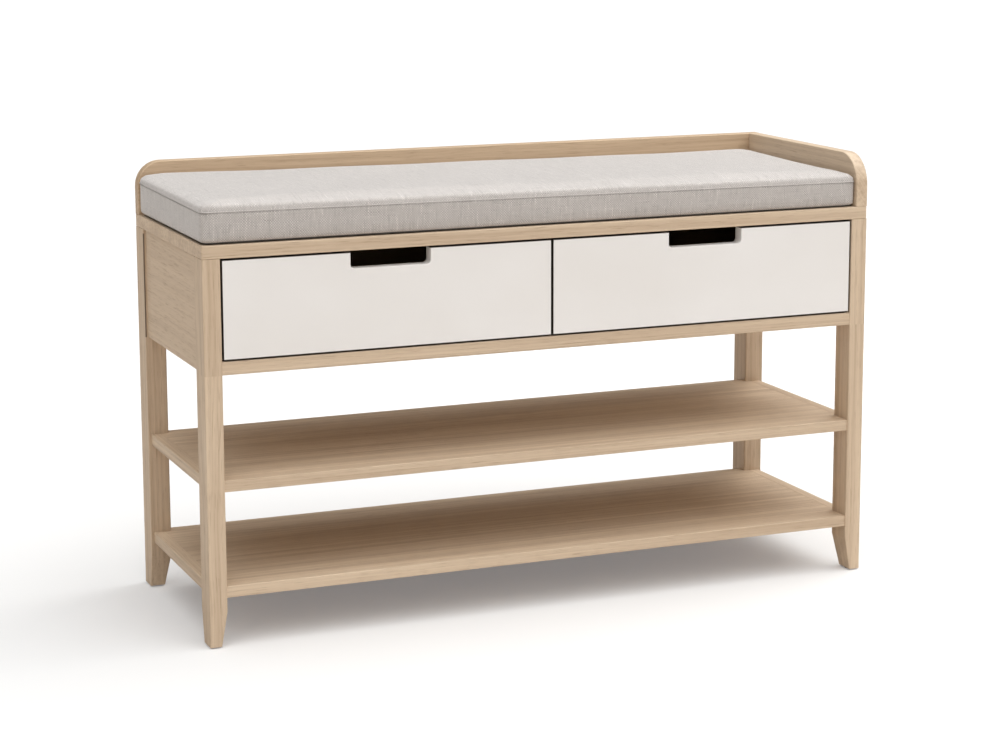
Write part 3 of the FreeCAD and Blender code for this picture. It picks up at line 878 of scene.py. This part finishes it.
def lay_floor():
    """A wide pale floor at the bottom of the bench's box.

    It glows towards the camera alone, as painted light: a little, and more away from
    the bench, so that the shadows stay soft and pale.  The light it bounces onto the
    bench is a warmer, darker colour than the one the camera sees."""
    span = np.linspace(-FLOOR_REACH, FLOOR_REACH, 3)
    across, along = np.meshgrid(span, span)
    points = np.stack([across, along, np.full_like(across, CAD_LOW.z)], -1)
    floor = link_piece("studio_floor", grid_mesh("studio_floor", points, False, False))
    face = Finish("studio_floor")
    x, y, _ = face.split(face.node("TexCoord", {}, output=3))
    mottle = face.noise(face.vector(face.times(x, 3.0), face.times(y, 3.0), 0.0), 2.0)
    seen = face.node("LightPath", {})
    pale = face.mix(mottle, (0.715, 0.710, 0.700), (0.725, 0.720, 0.710))
    # The camera sees the pale colour, and light bounced from the floor takes the warmer, darker
    # one.
    colour = face.mix(seen, (0.72, 0.67, 0.62), pale)
    away = face.math("SQRT", face.sum(face.times(x, x), face.times(y, y)))
    # Painted light: a glow seen only by the camera, stronger away from the bench.
    painted_glow = face.sum(GLOW, face.times(face.ease(away, GLOW_NEAR, GLOW_FAR), GLOW_GAIN))
    face.tree.links.new(face.times(seen, painted_glow), face.shader.inputs["Emission Strength"])
    face.shader.inputs["Emission Color"].default_value = (0.97, 1.0, 1.06, 1.0)
    floor.data.materials.append(face.finish(colour, face.sum(0.7, face.times(mottle, 0.1)),
                                            mottle, 0.0001))


def light_studio(scene, stage):
    """Light all round, brighter overhead and to the front, and one large soft light.

    In each direction the strength is the horizon's, plus the square of the direction's
    rise times the sum of the overhead light and the lean along that direction.  Seen
    straight from the camera, the background is one plain pale grey."""
    world = bpy.data.worlds.new("studio")
    world.use_nodes = True
    scene.world = world
    tree = world.node_tree
    seen, lit = tree.nodes.new("ShaderNodeBackground"), tree.nodes["Background"]
    coordinate = tree.nodes.new("ShaderNodeTexCoord")
    split = tree.nodes.new("ShaderNodeSeparateXYZ")
    lean = tree.nodes.new("ShaderNodeVectorMath")
    path = tree.nodes.new("ShaderNodeLightPath")
    choose = tree.nodes.new("ShaderNodeMixShader")
    lean.operation = "DOT_PRODUCT"
    lean.inputs[1].default_value = stage.lean

    def step(operation, first, second, third=0.0):
        made = tree.nodes.new("ShaderNodeMath")
        made.operation = operation
        for index, value in enumerate((first, second, third)):
            if isinstance(value, bpy.types.NodeSocket):
                tree.links.new(value, made.inputs[index])
            else:
                made.inputs[index].default_value = value
        return made.outputs[0]

    gain = step("ADD", lean.outputs["Value"], stage.overhead)
    rise = step("MULTIPLY", split.outputs["Z"], split.outputs["Z"])
    strength = step("MULTIPLY_ADD", gain, rise, stage.horizon)
    lit.inputs["Color"].default_value = (1.0, 1.0, 0.995, 1.0)
    seen.inputs["Color"].default_value = (0.985, 0.985, 0.985, 1.0)
    for source, target in ((coordinate.outputs["Generated"], lean.inputs[0]),
                           (coordinate.outputs["Generated"], split.inputs[0]),
                           (step("MAXIMUM", strength, 0.0), lit.inputs["Strength"]),
                           (path.outputs["Is Camera Ray"], choose.inputs[0]),
                           (lit.outputs[0], choose.inputs[1]),
                           (seen.outputs[0], choose.inputs[2]),
                           (choose.outputs[0], tree.nodes["World Output"].inputs[0])):
        tree.links.new(source, target)
    key = bpy.data.lights.new("overhead_key", "AREA")
    key.shape = "RECTANGLE"
    key.size, key.size_y = KEY_SIZE
    key.energy = stage.key
    key.color = (1.0, 0.985, 0.96)
    lamp = bpy.data.objects.new("overhead_key", key)
    lamp.location = KEY_PLACE
    aim = Vector(KEY_AIM) - lamp.location
    lamp.rotation_euler = aim.to_track_quat("-Z", "Y").to_euler()
    scene.collection.objects.link(lamp)
    scene.view_settings.view_transform = "Standard"


def place_camera(scene, stage):
    """A camera that looks from the front left, a little down."""
    data = bpy.data.cameras.new("camera")
    data.sensor_width = 36.0
    data.lens = stage.lens
    data.shift_y = stage.shift
    data.clip_end = 50.0
    camera = bpy.data.objects.new("camera", data)
    camera.location = stage.eye
    level = math.cos(stage.dip)
    ahead = Vector((math.sin(stage.heading) * level, math.cos(stage.heading) * level,
                    -math.sin(stage.dip)))
    rolled = ahead.to_track_quat("-Z", "Y") @ Quaternion((0.0, 0.0, 1.0), stage.roll)
    camera.rotation_euler = rolled.to_euler()
    scene.collection.objects.link(camera)
    scene.camera = camera


# ---- operators ---------------------------------------------------------------

# Each board's grain axis, and the axis through its thickness.
OAK_BOARDS = {
    "seat_board": "XZ", "drawer_deck": "XZ", "shelf_upper_panel": "XZ",
    "shelf_lower_panel": "XZ", "gallery_rail_back": "XY", "gallery_rail_right": "YX",
}
SIDES = ("left", "right")
for SIDE in SIDES:
    OAK_BOARDS["leg_front_" + SIDE] = "ZX"
    OAK_BOARDS["leg_back_" + SIDE] = "ZX"
    OAK_BOARDS["stile_front_" + SIDE] = "ZX"
    OAK_BOARDS["end_panel_" + SIDE] = "YX"
    OAK_BOARDS["shelf_upper_end_" + SIDE] = "YZ"
    OAK_BOARDS["shelf_lower_end_" + SIDE] = "YZ"

QUIET = {"end_panel_left": 0.5, "end_panel_right": 0.5}
# Painted shade on the back rail, which sits in shade behind the cushion.
PAINTED_SHADE = {"gallery_rail_back": 0.8}

PLY_BOARDS = {"centre_divider": "YX", "back_panel": "XY"}
for SIDE in SIDES:
    PLY_BOARDS["slide_packer_" + SIDE] = "YX"
    PLY_BOARDS["drawer_" + SIDE + "_side_outer"] = "YX"
    PLY_BOARDS["drawer_" + SIDE + "_side_inner"] = "YX"
    PLY_BOARDS["drawer_" + SIDE + "_back"] = "XY"
    PLY_BOARDS["drawer_" + SIDE + "_bottom"] = "XZ"


class BENCH_OT_oak(bpy.types.Operator):
    """Finish the oak boards, each with its grain along its length"""
    bl_idname = "bench.oak"
    bl_label = "Oak Boards"

    def execute(self, context):
        for node, (grain, flat) in OAK_BOARDS.items():
            paint(node, oak("oak_" + node, grain, flat, context.scene.bench_wood,
                            lined=node.startswith("leg_back"),
                            quiet=QUIET.get(node, 0.0), deeper=PAINTED_SHADE.get(node, 0.0)))
        return {"FINISHED"}


class BENCH_OT_plywood(bpy.types.Operator):
    """Finish the plywood of the carcass and the drawer boxes, and the dowels"""
    bl_idname = "bench.plywood"
    bl_label = "Plywood and Dowels"

    def execute(self, context):
        wood = context.scene.bench_wood
        for node, (grain, flat) in PLY_BOARDS.items():
            paint(node, birch_plywood("birch_" + node, grain, flat, wood))
        beech = turned_beech("beech_dowel", wood)
        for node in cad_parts:
            if node.endswith("_dowels"):
                paint(node, beech)
        return {"FINISHED"}


class BENCH_OT_fronts(bpy.types.Operator):
    """Lacquer the drawer fronts"""
    bl_idname = "bench.fronts"
    bl_label = "Drawer Fronts"

    def execute(self, context):
        for side in SIDES:
            node = "drawer_" + side + "_front"
            low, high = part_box(node)
            paint(node, satin_lacquer("lacquer_" + node, context.scene.bench_front, low, high))
        return {"FINISHED"}


class BENCH_OT_fittings(bpy.types.Operator):
    """Finish the slides, screws and foot glides"""
    bl_idname = "bench.fittings"
    bl_label = "Slides, Screws and Glides"

    def execute(self, context):
        zinc = zinc_plate("zinc_plate")
        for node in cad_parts:
            member = node.startswith(("slide_cabinet", "slide_middle", "slide_drawer"))
            if member or node.endswith("_screws"):
                paint(node, zinc)
        paint("foot_glides", moulded_nylon("glide_nylon"))
        return {"FINISHED"}


class BENCH_OT_cushion(bpy.types.Operator):
    """Make the seat cushion: a swollen pad with a weave that turns its corners"""
    bl_idname = "bench.cushion"
    bl_label = "Seat Cushion"

    def execute(self, context):
        cloth = context.scene.bench_cushion
        pad = link_piece("seat_cushion_pad", pad_blank(cloth))
        remesh = pad.modifiers.new("Even", "REMESH")
        remesh.mode = "VOXEL"
        remesh.voxel_size = cloth.voxel
        baked(pad)
        set_vertices(pad.data, inflate(pad, cloth))
        finer = pad.modifiers.new("Finer", "SUBSURF")
        finer.levels = finer.render_levels = 1
        mesh = baked(pad)
        cloth_maps(mesh, cloth)
        puckered = seam_puckers(vertex_array(mesh), cloth)
        set_vertices(mesh, keep_clear(tilted(puckered, cloth)))
        smooth_shaded(mesh)
        pad.vertex_groups.clear()
        mesh.materials.clear()
        mesh.materials.append(woven_cloth("cushion_linen", cloth, seamed=True))
        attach(pad, "cushion")
        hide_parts("seat_cushion")
        return {"FINISHED"}


class BENCH_OT_welt(bpy.types.Operator):
    """Make the piped welt round the cushion's top edge"""
    bl_idname = "bench.welt"
    bl_label = "Cushion Welt"

    def execute(self, context):
        cloth = context.scene.bench_cushion
        path, outward = seam_path(cloth, 0.3 * cloth.welt_radius, 0.0, WELT_SPACING)
        welt = link_piece("seat_cushion_welt", welt_tube(path, outward, cloth.welt_radius))
        face_outward(welt.data)
        smooth_shaded(welt.data)
        welt.data.materials.append(woven_cloth("welt_linen", cloth, 0.5))
        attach(welt, "cushion")
        return {"FINISHED"}


class BENCH_OT_topstitch(bpy.types.Operator):
    """Sew a row of stitches under the welt"""
    bl_idname = "bench.topstitch"
    bl_label = "Cushion Stitches"

    def execute(self, context):
        cloth = context.scene.bench_cushion
        pad = bpy.data.objects["seat_cushion_pad"]
        tree = BVHTree.FromObject(pad, context.evaluated_depsgraph_get())
        row, outward = seam_path(cloth, 0.0, STITCH_DROP, cloth.stitch_pitch)
        centres, normals = [], []
        for point, direction in zip(row, outward):
            hit, normal, _, _ = tree.ray_cast(Vector(point + 0.01 * direction),
                                              Vector(-direction), 0.03)
            if hit is not None:
                centres.append(hit)
                normals.append(normal)
        mesh = stitch_row(np.array(centres), np.array(normals), cloth.stitch_pitch)
        stitches = link_piece("seat_cushion_topstitch", mesh)
        face_outward(stitches.data)
        smooth_shaded(stitches.data)
        stitches.data.materials.append(twisted_thread("sewing_thread", cloth))
        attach(stitches, "cushion")
        return {"FINISHED"}


class BENCH_OT_stage(bpy.types.Operator):
    """Set up the floor, the light and the camera"""
    bl_idname = "bench.stage"
    bl_label = "Studio"

    def execute(self, context):
        stage = context.scene.bench_stage
        lay_floor()
        light_studio(context.scene, stage)
        place_camera(context.scene, stage)
        return {"FINISHED"}


class BENCH_PT_panel(bpy.types.Panel):
    """Lists the steps that finish the bench"""
    bl_idname = "BENCH_PT_panel"
    bl_label = "Entryway Bench"
    bl_space_type = "VIEW_3D"
    bl_region_type = "UI"
    bl_category = "Bench"

    def draw(self, context):
        for step in STEPS:
            self.layout.operator(step.bl_idname)
        for name, group in SETTINGS.items():
            box = self.layout.box()
            for key in group.__annotations__:
                box.prop(getattr(context.scene, name), key)


SETTINGS = {"bench_wood": BenchWoodSettings, "bench_front": BenchFrontSettings,
            "bench_cushion": BenchCushionSettings, "bench_stage": BenchStageSettings}
STEPS = (BENCH_OT_oak, BENCH_OT_plywood, BENCH_OT_fronts, BENCH_OT_fittings,
         BENCH_OT_cushion, BENCH_OT_welt, BENCH_OT_topstitch, BENCH_OT_stage)


def register():
    for group in (*SETTINGS.values(), *STEPS, BENCH_PT_panel):
        bpy.utils.register_class(group)
    for name, group in SETTINGS.items():
        setattr(bpy.types.Scene, name, bpy.props.PointerProperty(type=group))


def unregister():
    for name in SETTINGS:
        delattr(bpy.types.Scene, name)
    for group in (BENCH_PT_panel, *reversed(STEPS), *reversed(SETTINGS.values())):
        bpy.utils.unregister_class(group)


def main():
    register()
    for step in STEPS:
        family, action = step.bl_idname.split(".")
        getattr(getattr(bpy.ops, family), action)()


if __name__ == "__main__":
    main()
